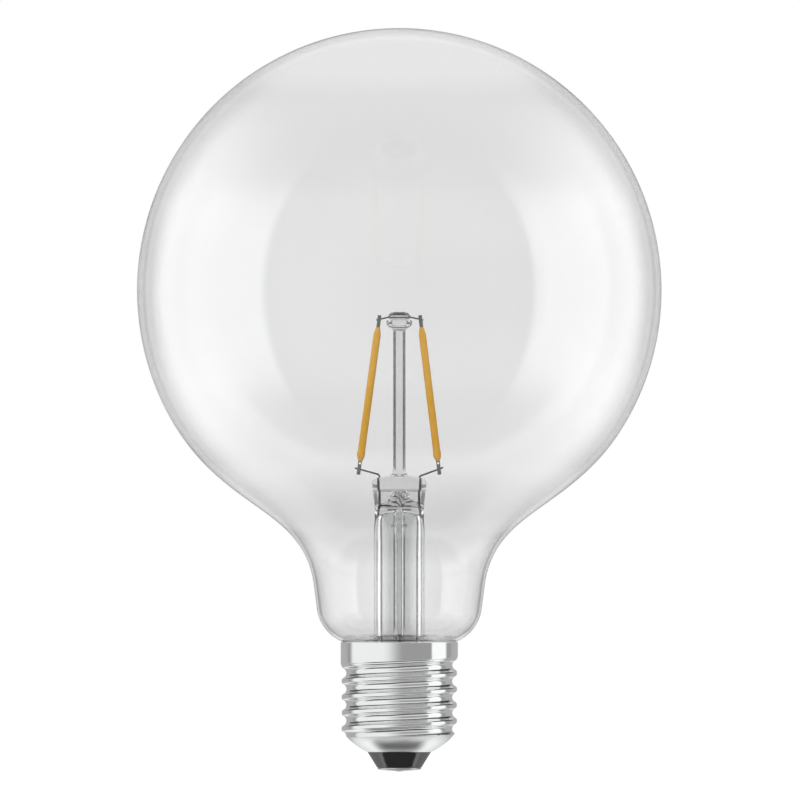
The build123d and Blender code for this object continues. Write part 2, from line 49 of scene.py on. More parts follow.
# Glass stem. A flare tube with a bell at its foot was pinched flat into a press while it was soft, with the
# thin exhaust tube inside it and a solid column with a button above it, all melted into one piece of glass.
MM = 0.001
CREASE = radians(60)  # a sharper edge stays sharp
NEAR_POLE = 88  # degrees, where an arc stops short of the axis and a fan closes it
GLASS_IOR = 1.5
TUBE_R = 5.85
TUBE_TOP_Z = 52.6  # the outside starts to flatten here
BORE_R = 4.45
BORE_TOP_Z = 52.2
BELL = (10.3, 27.45)  # centre of its two arcs
LIP_R = 11.3
LIP_Z = (21.6, 23.0)  # foot and top
LIP_ROUND = 0.25
EXHAUST_R = 1.375
EXHAUST_TAIL_Z = 18.5
EXHAUST_TOP_Z = 58.9
EXHAUST_BORE_R = 0.65
EXHAUST_BORE_Z = (20.6, 59.6)  # foot and top
EXHAUST_BEAD_Z = 56.5  # thicker ring where the exhaust tube was sealed in
EXHAUST_BEAD_SWELL = 0.45
EXHAUST_BEAD_SPREAD = 0.55
COLUMN_R = 1.45
COLUMN_Z = (69.4, 100.4)  # foot and top
VENT = (0.3, 63.2)  # x and z
VENT_SPREAD = 0.9
VENT_DEPTH = 0.5
VENT_FACE_Y = -1.3  # only what lies before this is dented
TENT_SHIFT = 0.2
FOLDS = (2.5, 2.1, 0)  # waves in a turn, radians to the millimetre up, and start
PLEATS = (5.5, -3.3, 1)
FOLD_MEAN = (0.6, 0.75)  # across and deep, as are the next two
FOLD_SIZE = (0.2, 0.5)
PLEAT_SIZE = (0.14, 0.35)
STEM_COLS = 128
TENT_COLS = 96
HOLLOW_COLS = 64
CLEARER_R = 2.2
CLEARER_TOP_Z = 60.4
STEM_MELTS = (  # lighter and darker melt, each for the stem and for the clearer exhaust tube
    ((0.87, 0.875, 0.872), (0.985, 0.985, 0.985)),
    ((0.84, 0.845, 0.842), (0.975, 0.975, 0.975)),
)
STEM_RIPPLE = 0.00001  # metres


class Sock:
    """A socket of a shader tree, so that shader maths reads as plain arithmetic on values."""

    def __init__(self, tree, socket=None):
        self.tree = tree
        self.socket = socket

    def node(self, kind, settings=None, inputs=None, out=0):
        """Add a node: its settings are set first, then its sockets are linked or given their values."""
        made = self.tree.nodes.new(kind)
        for key, value in (settings or {}).items():
            setattr(made, key, value)
        for key, value in (inputs or {}).items():
            if isinstance(value, Sock):
                self.tree.links.new(value.socket, made.inputs[key])
            else:
                made.inputs[key].default_value = value
        if isinstance(out, tuple):
            return [Sock(self.tree, made.outputs[o]) for o in out]
        return Sock(self.tree, made.outputs[out] if made.outputs else None)

    def math(self, operation, first, second=0.0):
        """One operation on one or two values."""
        return self.node("ShaderNodeMath", {"operation": operation}, {0: first, 1: second})

    def __add__(self, other):
        return self.math("ADD", self, other)

    def __radd__(self, other):
        return self.math("ADD", other, self)

    def __sub__(self, other):
        return self.math("SUBTRACT", self, other)

    def __rsub__(self, other):
        return self.math("SUBTRACT", other, self)

    def __mul__(self, other):
        return self.math("MULTIPLY", self, other)

    def __rmul__(self, other):
        return self.math("MULTIPLY", other, self)

    def __truediv__(self, other):
        return self.math("DIVIDE", self, other)

    def __abs__(self):
        return self.math("ABSOLUTE", self)

    def stretched(self, scale):
        """This vector times a scale on each axis; a scale below 1 draws a pattern out along its axis."""
        return self.node("ShaderNodeMapping", None, {"Vector": self, "Scale": scale})

    def noise(self, scale, detail=2.0):
        """Value noise on this vector, from 0 to 1; the scale is in lumps to the metre."""
        inputs = {"Vector": self, "Scale": scale, "Detail": detail}
        return self.node("ShaderNodeTexNoise", None, inputs, "Fac")

    def blend(self, first, second):
        """Colour that goes from the first to the second as this value goes from 0 to 1."""
        ends = [end if isinstance(end, Sock) else (*end, 1) for end in (first, second)]
        return self.node("ShaderNodeMix", {"data_type": "RGBA"}, {0: self, 6: ends[0], 7: ends[1]}, 2)

    def bump(self, distance):
        """Normal of a surface that stands this value times the distance, in metres, proud."""
        return self.node("ShaderNodeBump", None, {"Height": self, "Distance": distance, "Strength": 1.0})


def new_finish(name):
    """An empty material, and its Object coordinates in metres."""
    material = bpy.data.materials.new(name)
    material.use_nodes = True
    material.node_tree.nodes.clear()
    return material, Sock(material.node_tree).node("ShaderNodeTexCoord", out="Object")


def glass_finish(name, tint, ripple):
    """Clear glass with faint cords of a darker melt and a slow ripple; shadow rays pass straight through it.

    The tint is a function of the place that gives the lighter and the darker colour of the melt.
    """
    material, place = new_finish(name)
    cords = place.stretched((1, 1, 0.25)).noise(90, 3)
    shade = place.node("ShaderNodeBsdfPrincipled", None, {
        "Base Color": cords.blend(*tint(place)),
        "Roughness": 0.0,
        "IOR": GLASS_IOR,
        "Transmission Weight": 1.0,
        "Normal": place.noise(45, 1).bump(ripple),
    })
    shadow = place.node("ShaderNodeLightPath", out="Is Shadow Ray")
    clear = place.node("ShaderNodeBsdfTransparent")
    mixed = place.node("ShaderNodeMixShader", None, {0: shadow, 1: shade, 2: clear})
    place.node("ShaderNodeOutputMaterial", None, {"Surface": mixed})
    return material


def piece(name, grids, finish, nodes):
    """Put grids of points into one mesh that rides on the lamp and stands for its solids.

    A grid has rows up the piece and columns round it, anticlockwise seen from above. Quads join each row to
    the next. A grid in a list is a ring whose last row joins the first; otherwise its two ends are closed by
    fans of triangles about their mean points.
    """
    points, faces, used = [], [], 0
    for grid in grids:
        ring = isinstance(grid, list)
        grid = grid[0] if ring else grid
        rows, cols = grid.shape[:2]
        index = used + np.arange(rows * cols).reshape(rows, cols)
        low = index if ring else index[:-1]
        high = np.roll(index, -1, 0) if ring else index[1:]
        quads = np.stack([low, np.roll(low, -1, 1), np.roll(high, -1, 1), high], -1)
        faces += quads.reshape(-1, 4).tolist()
        points.append(grid.reshape(-1, 3))
        used += rows * cols
        if not ring:
            first, last = np.full(cols, used), np.full(cols, used + 1)
            faces += np.stack([first, np.roll(index[0], -1), index[0]], -1).tolist()
            faces += np.stack([last, index[-1], np.roll(index[-1], -1)], -1).tolist()
            points.append(grid[[0, -1]].mean(1))
            used += 2
    mesh = bpy.data.meshes.new(name)
    mesh.from_pydata(np.vstack(points) * MM, [], faces)
    mesh.shade_smooth()
    mesh.set_sharp_from_angle(angle=CREASE)
    mesh.materials.append(finish)
    made = bpy.data.objects.new(name, mesh)
    bpy.context.collection.objects.link(made)
    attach(made, "root")
    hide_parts(*nodes)


def flow(points, steps):
    """Smooth curve through points: each span is the cubic whose end slopes join its neighbours' points."""
    held = np.asarray(points, float)
    held = np.vstack([2 * held[0] - held[1], held, 2 * held[-1] - held[-2]])
    a, b, c, d = (held[i:len(held) - 3 + i] for i in range(4))
    t = np.linspace(0, 1, steps, endpoint=False)[:, None, None]
    curve = b + (c - a) * t / 2 + (2 * a - 5 * b + 4 * c - d) * t**2 / 2 + (3 * b - a - 3 * c + d) * t**3 / 2
    return np.vstack([curve.transpose(1, 0, 2).reshape(-1, held.shape[1]), held[-2]])


def arc(centre, radius, start, end, count):
    """Radii and heights along a circular arc between two angles, in degrees."""
    turn = np.radians(np.linspace(start, end, count))
    return np.stack([centre[0] + radius * np.cos(turn), centre[1] + radius * np.sin(turn)], 1)


def straight(radius, low, high, count):
    """Radii and heights along a straight cylinder, without its two ends."""
    z = np.linspace(low, high, count + 2)[1:-1]
    return np.stack([np.full(count, radius), z], 1)


def turns(cols):
    """Angles of columns that are evenly spaced round an axis."""
    return 2 * pi * np.arange(cols) / cols


def slot_grid(rows, cols):
    """Grid over slot-shaped sections, one for each row of half-width, half-depth and height.

    Along a ray from the axis, the outline is at the half-depth over the ray's sine on the flat sides, and on
    the circle of that radius about the end's centre beyond them. Equal width and depth give a circle.
    """
    turn = turns(cols)
    c, s = np.abs(np.cos(turn)), np.maximum(np.abs(np.sin(turn)), 1e-9)
    wide, deep, z = (rows[:, i:i + 1] for i in range(3))
    middle = np.maximum(wide - deep, 0)
    flat = deep / s
    end = middle * c + np.sqrt(np.maximum(deep**2 - (middle * s) ** 2, 0))
    r = np.where(flat * c <= middle, flat, end)
    return np.stack([r * np.cos(turn), r * np.sin(turn), z + 0 * r], -1)


def lathe(profile, cols):
    """Grid of a turned piece: its radii and heights carried round the axis."""
    return slot_grid(profile[:, [0, 0, 1]], cols)


tail = arc((0, EXHAUST_TAIL_Z + EXHAUST_R), EXHAUST_R, -NEAR_POLE, 0, 10)
exhaust = straight(EXHAUST_R, tail[-1, 1], EXHAUST_TOP_Z, 90)
from_bead = (exhaust[:, 1] - EXHAUST_BEAD_Z) / EXHAUST_BEAD_SPREAD
exhaust[:, 0] += EXHAUST_BEAD_SWELL * np.exp(-(from_bead**2))
ceiling = flow([
    (1.38, 1.38, EXHAUST_TOP_Z), (1.6, 1.46, 59.3), (3.0, 1.53, 59.42), (3.9, 1.7, 59.1), (4.25, 2.15, 58.35),
    (4.36, 2.85, 57.3), (4.42, 3.55, 56.1), (4.44, 4.08, 54.8), (BORE_R, 4.36, 53.5),
    (BORE_R, BORE_R, BORE_TOP_Z),
], 6)
bell = np.vstack([
    straight(BORE_R, BORE_TOP_Z, BELL[1], 28),
    arc(BELL, BELL[0] - BORE_R, 180, 270, 24),
    [(LIP_R - LIP_ROUND, LIP_Z[0]), (LIP_R, LIP_Z[0] + LIP_ROUND)],
    [(LIP_R, LIP_Z[1] - LIP_ROUND), (LIP_R - LIP_ROUND, LIP_Z[1])],
    arc(BELL, BELL[0] - TUBE_R, 270, 180, 24),
    straight(TUBE_R, BELL[1], TUBE_TOP_Z, 28),
])
press = flow([
    (TUBE_R, TUBE_R, TUBE_TOP_Z), (TUBE_R, 5.76, 53.9), (5.83, 5.46, 55.2), (5.78, 4.92, 56.5),
    (5.68, 4.2, 57.7), (5.62, 3.4, 58.9), (5.62, 2.6, 60.2), (5.72, 2.1, 61.4), (5.9, 1.96, 63.0),
    (6.05, 1.88, 64.25), (6.12, 2.34, 64.6), (6.2, 2.5, 65.1), (6.2, 2.42, 66.0), (5.8, 2.2, 66.75),
    (5.0, 1.9, 67.2), (3.6, 1.74, 67.45), (2.3, 1.68, 67.65), (1.72, 1.6, 67.95), (1.5, 1.5, 68.6),
    (COLUMN_R, COLUMN_R, COLUMN_Z[0]),
], 7)
button = flow([
    (COLUMN_R, COLUMN_Z[1]), (1.5, 100.9), (1.85, 101.3), (2.5, 101.7), (2.9, 102.2), (2.98, 102.65),
    (2.8, 103.15), (2.4, 103.5), (2.56, 103.8), (2.52, 104.2), (2.2, 104.7), (1.9, 104.98), (1.4, 105.1),
    (0.6, 105.1),
], 6)
outside = [tail, exhaust, ceiling, bell, press, straight(COLUMN_R, *COLUMN_Z, 40), button]
stem_rows = np.vstack([part if part.shape[1] == 3 else part[:, [0, 0, 1]] for part in outside])
stem_skin = slot_grid(stem_rows, STEM_COLS)
# The vent was blown open through the front of the press, and left a round dimple there.
from_vent = ((stem_skin[..., 0] - VENT[0]) ** 2 + (stem_skin[..., 2] - VENT[1]) ** 2) / VENT_SPREAD**2
stem_skin[..., 1] += np.where(stem_skin[..., 1] < VENT_FACE_Y, VENT_DEPTH * np.exp(-from_vent), 0)
# Inside the press the bore ends in a flat tent under the vent. Two folded sines that wind up it crumple it.
tent = slot_grid(flow([
    (0.5, 0.3, 65.0), (1.2, 0.75, 64.75), (1.75, 1.0, 64.2), (2.05, 1.1, 63.5), (2.4, 0.9, 62.8),
    (3.5, 0.6, 61.9), (4.7, 0.42, 60.9), (4.95, 0.25, 60.5),
], 8), TENT_COLS)
round_tent = np.arctan2(tent[..., 1], tent[..., 0])
folds, pleats = (
    np.abs(np.sin(count * round_tent + rate * tent[..., 2] + start)) for count, rate, start in (FOLDS, PLEATS)
)
for axis, (mean, fold, pleat) in enumerate(zip(FOLD_MEAN, FOLD_SIZE, PLEAT_SIZE)):
    tent[..., axis] *= 1 + fold * (folds - mean) + pleat * (pleats - mean)
tent[..., 0] += TENT_SHIFT
hollow = lathe(np.vstack([
    arc((0, EXHAUST_BORE_Z[1]), EXHAUST_BORE_R, NEAR_POLE, 0, 8),
    straight(EXHAUST_BORE_R, *EXHAUST_BORE_Z[::-1], 60),
    arc((0, EXHAUST_BORE_Z[0]), EXHAUST_BORE_R, 0, -NEAR_POLE, 8),
]), HOLLOW_COLS)


def stem_tint(place):
    """The exhaust tube, within its radius below the press, is of a clearer glass than the rest."""
    x, y, z = place.node("ShaderNodeSeparateXYZ", None, {0: place}, (0, 1, 2))
    inside = place.math("LESS_THAN", x * x + y * y, (CLEARER_R * MM) ** 2)
    clearer = inside * place.math("LESS_THAN", z, CLEARER_TOP_Z * MM)
    return [clearer.blend(*melt) for melt in STEM_MELTS]


stem_glass = glass_finish("stem_glass", stem_tint, STEM_RIPPLE)
piece(
    "glass_stem", [stem_skin, tent, hollow], stem_glass,
    ["stem_flare", "exhaust_tube", "stem_column"],
)

# Support wires. Two lead wires come up the stem, are gripped by the press and bend out to the strips' feet,
# and a thin jumper through the button joins the strips' heads. All are drawn nickel, dulled by the flame.
SIDES = {"left": -1, "right": 1}
FOOT_REACH = {"left": 9.2, "right": 9.05}
HEAD_REACH = {"left": 4.6, "right": 4.85}
HOOK_SLOPE = {"left": 15.0, "right": 20.0}  # degrees
HOOK_END = 1.05
FOOT_WELD_Z = 69.1
HEAD_WELD_Z = 103.4
LEAD_R = 0.2
LEAD_REACH = 4.55
BORE_REACH = 4.15
PRESS_FOOT_Z = 59.1
BELL_BEND_Z = 24.0
PAD = (7.8, 2.3)  # x and y of the wire's end at the driver
PAD_Z = (20.76, 17.56)  # bend and end
LEAD_BENDS = (0.7, 0.9, 0.9, 0.9)
JUMPER_R = 0.175
JUMPER_Y = -0.025
JUMPER_Z = 104.1
JUMPER_FLAT = 1.5
JUMPER_END = 0.75
JUMPER_BENDS = (1.2, 1.2)
BEND_POINTS = 10
WIRE_STEP = 0.25
WIRE_COLS = 14
WIRE_BLUNT = 0.9  # how far an end is rounded over, as a share of the radius


def bent(points, radii):
    """Straight runs joined by arcs: at each corner the arc of the given radius touches both runs."""
    points = np.asarray(points, float)
    path = [points[:1]]
    for before, corner, after, radius in zip(points, points[1:], points[2:], radii):
        u, v = corner - before, after - corner
        u, v = u / np.linalg.norm(u), v / np.linalg.norm(v)
        half = np.arccos(np.clip(u @ v, -1, 1)) / 2
        inward = (v - u) / np.linalg.norm(v - u)
        centre = corner + inward * radius / cos(half)
        along = (u + v) / np.linalg.norm(u + v)
        turn = np.linspace(-half, half, BEND_POINTS)[:, None]
        path.append(centre + radius * (along * np.sin(turn) - inward * np.cos(turn)))
    path.append(points[-1:])
    return np.vstack(path)


def wire(path, radius):
    """Round wire: a circle carried along a path, square to it, with its ends rounded over."""
    steps = np.linalg.norm(np.diff(path, axis=0), axis=1)
    gone = np.concatenate([[0], np.cumsum(steps)])
    fine = np.linspace(0, gone[-1], int(gone[-1] / WIRE_STEP) + 2)
    fine = np.union1d(fine, gone)
    middle = np.stack([np.interp(fine, gone, path[:, i]) for i in range(3)], 1)
    along = np.gradient(middle, axis=0)
    along /= np.linalg.norm(along, axis=1, keepdims=True)
    side = np.cross(np.cross(along, (0, 1, 0)), along)
    side /= np.linalg.norm(side, axis=1, keepdims=True)
    up = np.cross(along, side)
    turn = turns(WIRE_COLS)
    near_end = np.clip(1 - np.minimum(fine, gone[-1] - fine) / radius, 0, WIRE_BLUNT)
    size = radius * np.sqrt(1 - near_end**2)
    ring = side[:, None] * np.cos(turn)[:, None] + up[:, None] * np.sin(turn)[:, None]
    return middle[:, None] + size[:, None, None] * ring


def surface(place, sockets):
    """Close a material with one principled surface."""
    shade = place.node("ShaderNodeBsdfPrincipled", None, sockets)
    place.node("ShaderNodeOutputMaterial", None, {"Surface": shade})


wire_metal, place = new_finish("drawn_wire")
soot = place.noise(900, 3)
surface(place, {
    "Base Color": soot.blend((0.20, 0.197, 0.19), (0.07, 0.069, 0.067)),
    "Metallic": 0.9,
    "Roughness": 0.28 + 0.2 * soot,
    "Normal": place.noise(6000).bump(0.00001),
})
ends = []
for name, side in SIDES.items():
    slope = tan(radians(HOOK_SLOPE[name]))
    bend_z = FOOT_WELD_Z - slope * (FOOT_REACH[name] - LEAD_REACH)
    end = FOOT_REACH[name] + HOOK_END
    lead = bent([
        (side * end, 0, bend_z + slope * (end - LEAD_REACH)), (side * LEAD_REACH, 0, bend_z),
        (side * BORE_REACH, 0, PRESS_FOOT_Z), (side * BORE_REACH, 0, BELL_BEND_Z),
        (side * PAD[0], PAD[1], PAD_Z[0]), (side * PAD[0], PAD[1], PAD_Z[1]),
    ], LEAD_BENDS)
    piece(f"{name}_lead", [wire(lead, LEAD_R)], wire_metal, [f"{name}_lead_wire"])
    fall = (JUMPER_Z - HEAD_WELD_Z) / (HEAD_REACH[name] - JUMPER_FLAT)
    ends.append((side * (HEAD_REACH[name] + JUMPER_END), JUMPER_Y, HEAD_WELD_Z - fall * JUMPER_END))
flat = [(side * JUMPER_FLAT, JUMPER_Y, JUMPER_Z) for side in SIDES.values()]
jumper = bent([ends[0], *flat, ends[1]], JUMPER_BENDS)
piece("jumper", [wire(jumper, JUMPER_R)], wire_metal, ["jumper_wire"])

# Light-emitting strips. Each is a white ceramic strip with a row of chips and a coat of yellow phosphor in
# silicone, dipped so that it swells at the foot and thins to both tips. The stamped metal tabs at its ends
# are welded to the wires.
TAB_BARE = 1.8
STRIP_Y = -0.3
COAT_WIDE = 0.84  # half-width along the middle
COAT_DEEP = 0.7
TIP_HALF = 0.43
COAT_SWAY = ((0.012, 1.7, 0), (0.01, 4.1, 1))  # size, radians to the millimetre, and start
COAT_COLS = 48

tab_metal, place = new_finish("stamped_tab")
grain = place.stretched((1, 1, 0.1)).noise(9000)
surface(place, {
    "Base Color": grain.blend((0.34, 0.335, 0.32), (0.24, 0.235, 0.225)),
    "Metallic": 0.85,
    "Roughness": 0.32 + 0.15 * grain,
    "Normal": grain.bump(0.000008),
})
ceramic, place = new_finish("strip_ceramic")
speck = place.noise(7000, 3)
surface(place, {
    "Base Color": speck.blend((0.86, 0.85, 0.81), (0.74, 0.73, 0.69)),
    "Roughness": 0.55 + 0.15 * speck,
})
chip, place = new_finish("light_chip")
sheen = place.noise(5000)
surface(place, {
    "Base Color": sheen.blend((0.70, 0.76, 0.84), (0.55, 0.62, 0.74)),
    "Roughness": 0.12 + 0.1 * sheen,
})
phosphor, place = new_finish("phosphor_coat")
cloud, powder = place.noise(420, 3), place.noise(9000, 3)
surface(place, {
    "Base Color": (cloud * 0.6 + powder * 0.4).blend((0.66, 0.352, 0.038), (0.57, 0.30, 0.031)),
    "Roughness": 0.5 + 0.25 * powder,
    "Specular IOR Level": 0.25,
    "Normal": (powder + cloud * 2).bump(0.00002),
})


def coat(foot, head):
    """Dipped coat along a strip: an ellipse whose half-width follows the length, widest just past the foot.

    Two slow sines of the length make it sway by about a hundredth.
    """
    axis = head - foot
    length = np.linalg.norm(axis)
    axis = axis / length
    along = flow([
        (TIP_HALF * 0.5, 0.0), (TIP_HALF, 0.05), (0.62, 0.45), (0.84, 1.05), (0.91, 1.7), (0.885, 2.6),
        (COAT_WIDE, 4.2), (COAT_WIDE, length / 2), (COAT_WIDE, length - 2.9), (0.82, length - 1.9),
        (0.70, length - 1.1), (0.55, length - 0.45), (TIP_HALF, length - 0.05), (TIP_HALF * 0.5, length),
    ], 6)
    half, up = along[:, 0], along[:, 1]
    half = half * (1 + sum(size * np.sin(rate * up + start) for size, rate, start in COAT_SWAY))
    turn = turns(COAT_COLS)
    wide = half[:, None] * np.cos(turn)
    deep = half[:, None] * COAT_DEEP / COAT_WIDE * np.sin(turn)
    middle = foot + up[:, None, None] * axis
    return middle + wide[..., None] * np.cross((0, 1, 0), axis) + deep[..., None] * np.array([0, 1, 0])


for name, side in SIDES.items():
    foot_weld = np.array([side * FOOT_REACH[name], STRIP_Y, FOOT_WELD_Z])
    head_weld = np.array([side * HEAD_REACH[name], STRIP_Y, HEAD_WELD_Z])
    along_strip = (head_weld - foot_weld) / np.linalg.norm(head_weld - foot_weld)
    body = coat(foot_weld + TAB_BARE * along_strip, head_weld - TAB_BARE * along_strip)
    piece(f"{name}_coat", [body], phosphor, [f"{name}_strip_coat"])
    for ending, finish in (
        ("foot_tab", tab_metal), ("head_tab", tab_metal), ("ceramic", ceramic), ("chips", chip),
    ):
        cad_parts[f"{name}_strip_{ending}"].material_slots[0].material = finish

# Globe. It is blown in one piece from clear soda-lime glass: a sphere that runs into a tapered neck, rounds
# in under the cap's rim and is melted to the bell of the stem inside the cap.
GLASS_WALL = 0.8
NECK = (19.55, 42.6)
NECK_TAPER = radians(7.4)
NECK_JOIN = radians(26)  # below the equator
GLOBE_PULL = 0.67  # how far the neck's curve keeps to the sphere's slope, as a share of its height
NECK_PULL = 0.462  # and to the taper's
SHOULDER_DROP = 5.4
MOUTH = (12.8, 29.6)
SEAL = (11.3, 23.0)
CROWN = 89.6  # degrees, where the arc stops short of the axis
CROWN_R = 0.2  # least radius of the inside
GLOBE_COLS = 192
DRAWN_Z = 57.0
DRAWN_SPREAD = 9.0
NECK_FADE_Z = (57.0, 47.0)  # from the drawn glass down to the neck's
PAINTED_EDGE_SHADE_MOST = 0.6  # limit of the painted shade on glass that is looked along
GLOBE_MELTS = (  # lighter and darker melt: globe, then drawn glass and neck, each looked through and along; the greys for looking along are painted shade
    ((0.907, 0.91, 0.908), ((0.885, 0.888, 0.887), (0.68, 0.683, 0.682)),
     ((0.945, 0.948, 0.946), (0.55, 0.553, 0.552))),
    ((0.897, 0.90, 0.898), ((0.87, 0.873, 0.872), (0.665, 0.668, 0.667)),
     ((0.935, 0.938, 0.936), (0.54, 0.543, 0.542))),
)
GLOBE_RIPPLE = 0.00002  # metres

globe_box = np.array(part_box("glass_globe")) / MM
globe_r = (globe_box[1, :2] - globe_box[0, :2]).min() / 2
globe_mid = globe_box[1, 2] - globe_r


def curve(p, count):
    """Cubic from the first control point, leaving for the second, to the last, coming from the third."""
    t = np.linspace(0, 1, count)[:, None]
    return (1 - t) ** 3 * p[0] + 3 * t * (1 - t) ** 2 * p[1] + 3 * t**2 * (1 - t) * p[2] + t**3 * p[3]


def globe_profile():
    """Outer profile from the seal up to the crown: throat arc, shoulder arc, taper, neck curve and sphere."""
    join = np.array([globe_r * cos(NECK_JOIN), globe_mid - globe_r * sin(NECK_JOIN)])
    neck = np.array(NECK)
    down = np.array([-sin(NECK_TAPER), -cos(NECK_TAPER)])
    inward = np.array([-cos(NECK_TAPER), sin(NECK_TAPER)])
    shoulder = neck + down * SHOULDER_DROP / cos(NECK_TAPER)
    chord = np.array(MOUTH) - shoulder
    round_r = chord @ chord / (2 * chord @ inward)
    centre = shoulder + inward * round_r
    start = np.degrees(np.arctan2(*(shoulder - centre)[::-1]))
    stop = np.degrees(np.arctan2(*(np.array(MOUTH) - centre)[::-1]))
    slope = np.radians(stop)
    throat_r = (MOUTH[0] - SEAL[0]) / (1 - cos(slope))
    throat_centre = np.array(MOUTH) + throat_r * np.array([cos(slope), sin(slope)])
    drop = join[1] - neck[1]
    leave = neck - down * NECK_PULL * drop
    arrive = join - np.array([sin(NECK_JOIN), cos(NECK_JOIN)]) * GLOBE_PULL * drop
    return np.vstack([
        straight(SEAL[0], SEAL[1], throat_centre[1], 4),
        arc(throat_centre, throat_r, 180, 180 + stop, 12),
        arc(centre, round_r, stop, start, 28)[1:],
        np.linspace(shoulder, neck, 10)[1:-1],
        curve([neck, leave, arrive, join], 70),
        arc((0, globe_mid), globe_r, -np.degrees(NECK_JOIN), CROWN, 110)[1:],
    ])


outer = globe_profile()
run = np.gradient(outer, axis=0)
run /= np.linalg.norm(run, axis=1, keepdims=True)
inner = outer - GLASS_WALL * np.stack([run[:, 1], -run[:, 0]], 1)
inner[:, 0] = np.maximum(inner[:, 0], CROWN_R)
seal_edge = np.array([(SEAL[0] - GLASS_WALL, SEAL[1]), SEAL])


def fade(value, zero, one):
    """Value that goes smoothly from 0 to 1 as another goes from one bound to the other."""
    inputs = {"Value": value, "From Min": zero, "From Max": one}
    return value.node("ShaderNodeMapRange", {"interpolation_type": "SMOOTHSTEP"}, inputs)


def globe_tint(place):
    """The glass is greyer where the neck was drawn out, by a bell curve of the height, and clearer below.

    In both it greys where it is looked along: a little because more glass is in the way there, and the rest
    is painted shade.
    """
    z = place.node("ShaderNodeSeparateXYZ", None, {0: place}, 2)
    off = (z - DRAWN_Z * MM) / (DRAWN_SPREAD * MM)
    drawn = place.math("EXPONENT", -1 * off * off)
    neck = fade(z, NECK_FADE_Z[0] * MM, NECK_FADE_Z[1] * MM)
    # Painted shade: the glass colour darkens where the wall is seen edge-on, up to the limit above.
    facing = place.node("ShaderNodeLayerWeight", None, {"Blend": 0.5}, "Facing")
    along = place.math("MINIMUM", facing, PAINTED_EDGE_SHADE_MOST)
    return [
        neck.blend(drawn.blend(globe, along.blend(*drawn_out)), along.blend(*low))
        for globe, drawn_out, low in GLOBE_MELTS
    ]


globe_glass = glass_finish("globe_glass", globe_tint, GLOBE_RIPPLE)
globe_skin = lathe(np.vstack([inner[::-1], seal_edge, outer]), GLOBE_COLS)
piece("blown_globe", [globe_skin], globe_glass, ["glass_globe"])

# Driver. A small board stands in the cap behind the stem's bell, with its rectifier, chip, choke and
# capacitor soldered on, and a fusible resistor on the axis feeds it from the contact. All keep plain bodies.
DRIVER_FINISHES = {  # light and dark colour, metallic, roughness, lumps to the metre, nodes
    "tinned_lead": (
        (0.74, 0.74, 0.75), (0.60, 0.60, 0.61), 1.0, 0.25, 4000,
        ["live_wire", "resistor_lead", "neutral_wire", "capacitor_leads"],
    ),
    "resistor_body": ((0.28, 0.44, 0.40), (0.22, 0.36, 0.33), 0.0, 0.3, 2500, ["fusible_resistor"]),
    "solder_mask": ((0.10, 0.30, 0.16), (0.07, 0.24, 0.12), 0.0, 0.35, 1500, ["driver_board"]),
    "chip_moulding": (
        (0.035, 0.035, 0.036), (0.022, 0.022, 0.022), 0.0, 0.5, 6000, ["bridge_rectifier", "driver_chip"],
    ),
    "choke_ferrite": ((0.11, 0.11, 0.115), (0.07, 0.07, 0.07), 0.0, 0.45, 5000, ["choke_core"]),
    "choke_copper": ((0.72, 0.36, 0.16), (0.52, 0.22, 0.08), 1.0, 0.3, 3000, ["choke_winding"]),
    "capacitor_sleeve": ((0.05, 0.05, 0.06), (0.03, 0.03, 0.035), 0.0, 0.28, 1200, ["smoothing_capacitor"]),
}
for name, (light, dark, metal, rough, scale, nodes) in DRIVER_FINISHES.items():
    finish, place = new_finish(name)
    mottle = place.noise(scale, 3)
    surface(place, {
        "Base Color": mottle.blend(light, dark),
        "Metallic": metal,
        "Roughness": rough + 0.15 * mottle,
        "Normal": mottle.bump(0.00002),
    })
    for node in nodes:
        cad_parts[node].material_slots[0].material = finish

# Cement. A ring of dry, sandy cement fills the gap between the globe's throat and the skirt of the cap. It is
# put in as a paste and baked hard, and holds the two together.
cement, place = new_finish("dry_cement")
lumps = place.noise(1400, 5)
surface(place, {
    "Base Color": lumps.blend((0.90, 0.89, 0.86), (0.80, 0.79, 0.75)),
    "Roughness": 0.8 + 0.15 * lumps,
    "Normal": lumps.bump(0.0001),
})
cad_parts["cap_cement"].material_slots[0].material = cement

# Screw shell. It is drawn from thin bright sheet into a cup with a plain skirt and a bowl at its foot, and
# the round thread is rolled into its wall, so that one even groove winds up it and fades out in the skirt.
SHELL_WALL = 0.3
CREST_R = 13.2
ROOT_R = 12.1
SKIRT_R = 13.4
PITCH = 3.629
CREST_ARC = 0.75
CREST_TRIM = 0.05
GROOVE_TOP_Z = 24.3  # root of the topmost full groove, on +X
GROOVES = 6
FADE_TURNS = 0.3  # stretch on which the groove leaves the skirt
FADE_CLEAR = 0.5  # how far beyond the skirt its root ends
SKIRT_FOOT_Z = 23.55
RIM_Z = 29.6
BOWL_EDGE_Z = 9.3
BOWL_ARC = 16.0
BOWL_CENTRE = (0.31, 18.78)
HEM = (7.45, 4.46)
HEM_HOLE_R = 6.5
EDGE_SOFT = 0.35  # height of the step out to the skirt
EDGE_ROUND = 0.035  # rounding where the groove meets the blank
ROLLED_TOP_Z = 25.5  # the rolls' waves die out here and at the hem
ROLLED_FADE = (3, 2)  # stretch at the hem and at the top
ROLLED_WAVES = ((0.018, 5, 1.1), (0.012, 11, -1.7))  # size, waves in a turn, radians to the millimetre up
SHELL_COLS = 208
SHELL_ROWS = 320
LINING_ROWS = 70
RIM_ROUND = 0.06
HEM_ROUND = 0.12
LINING_CLEAR = 0.1


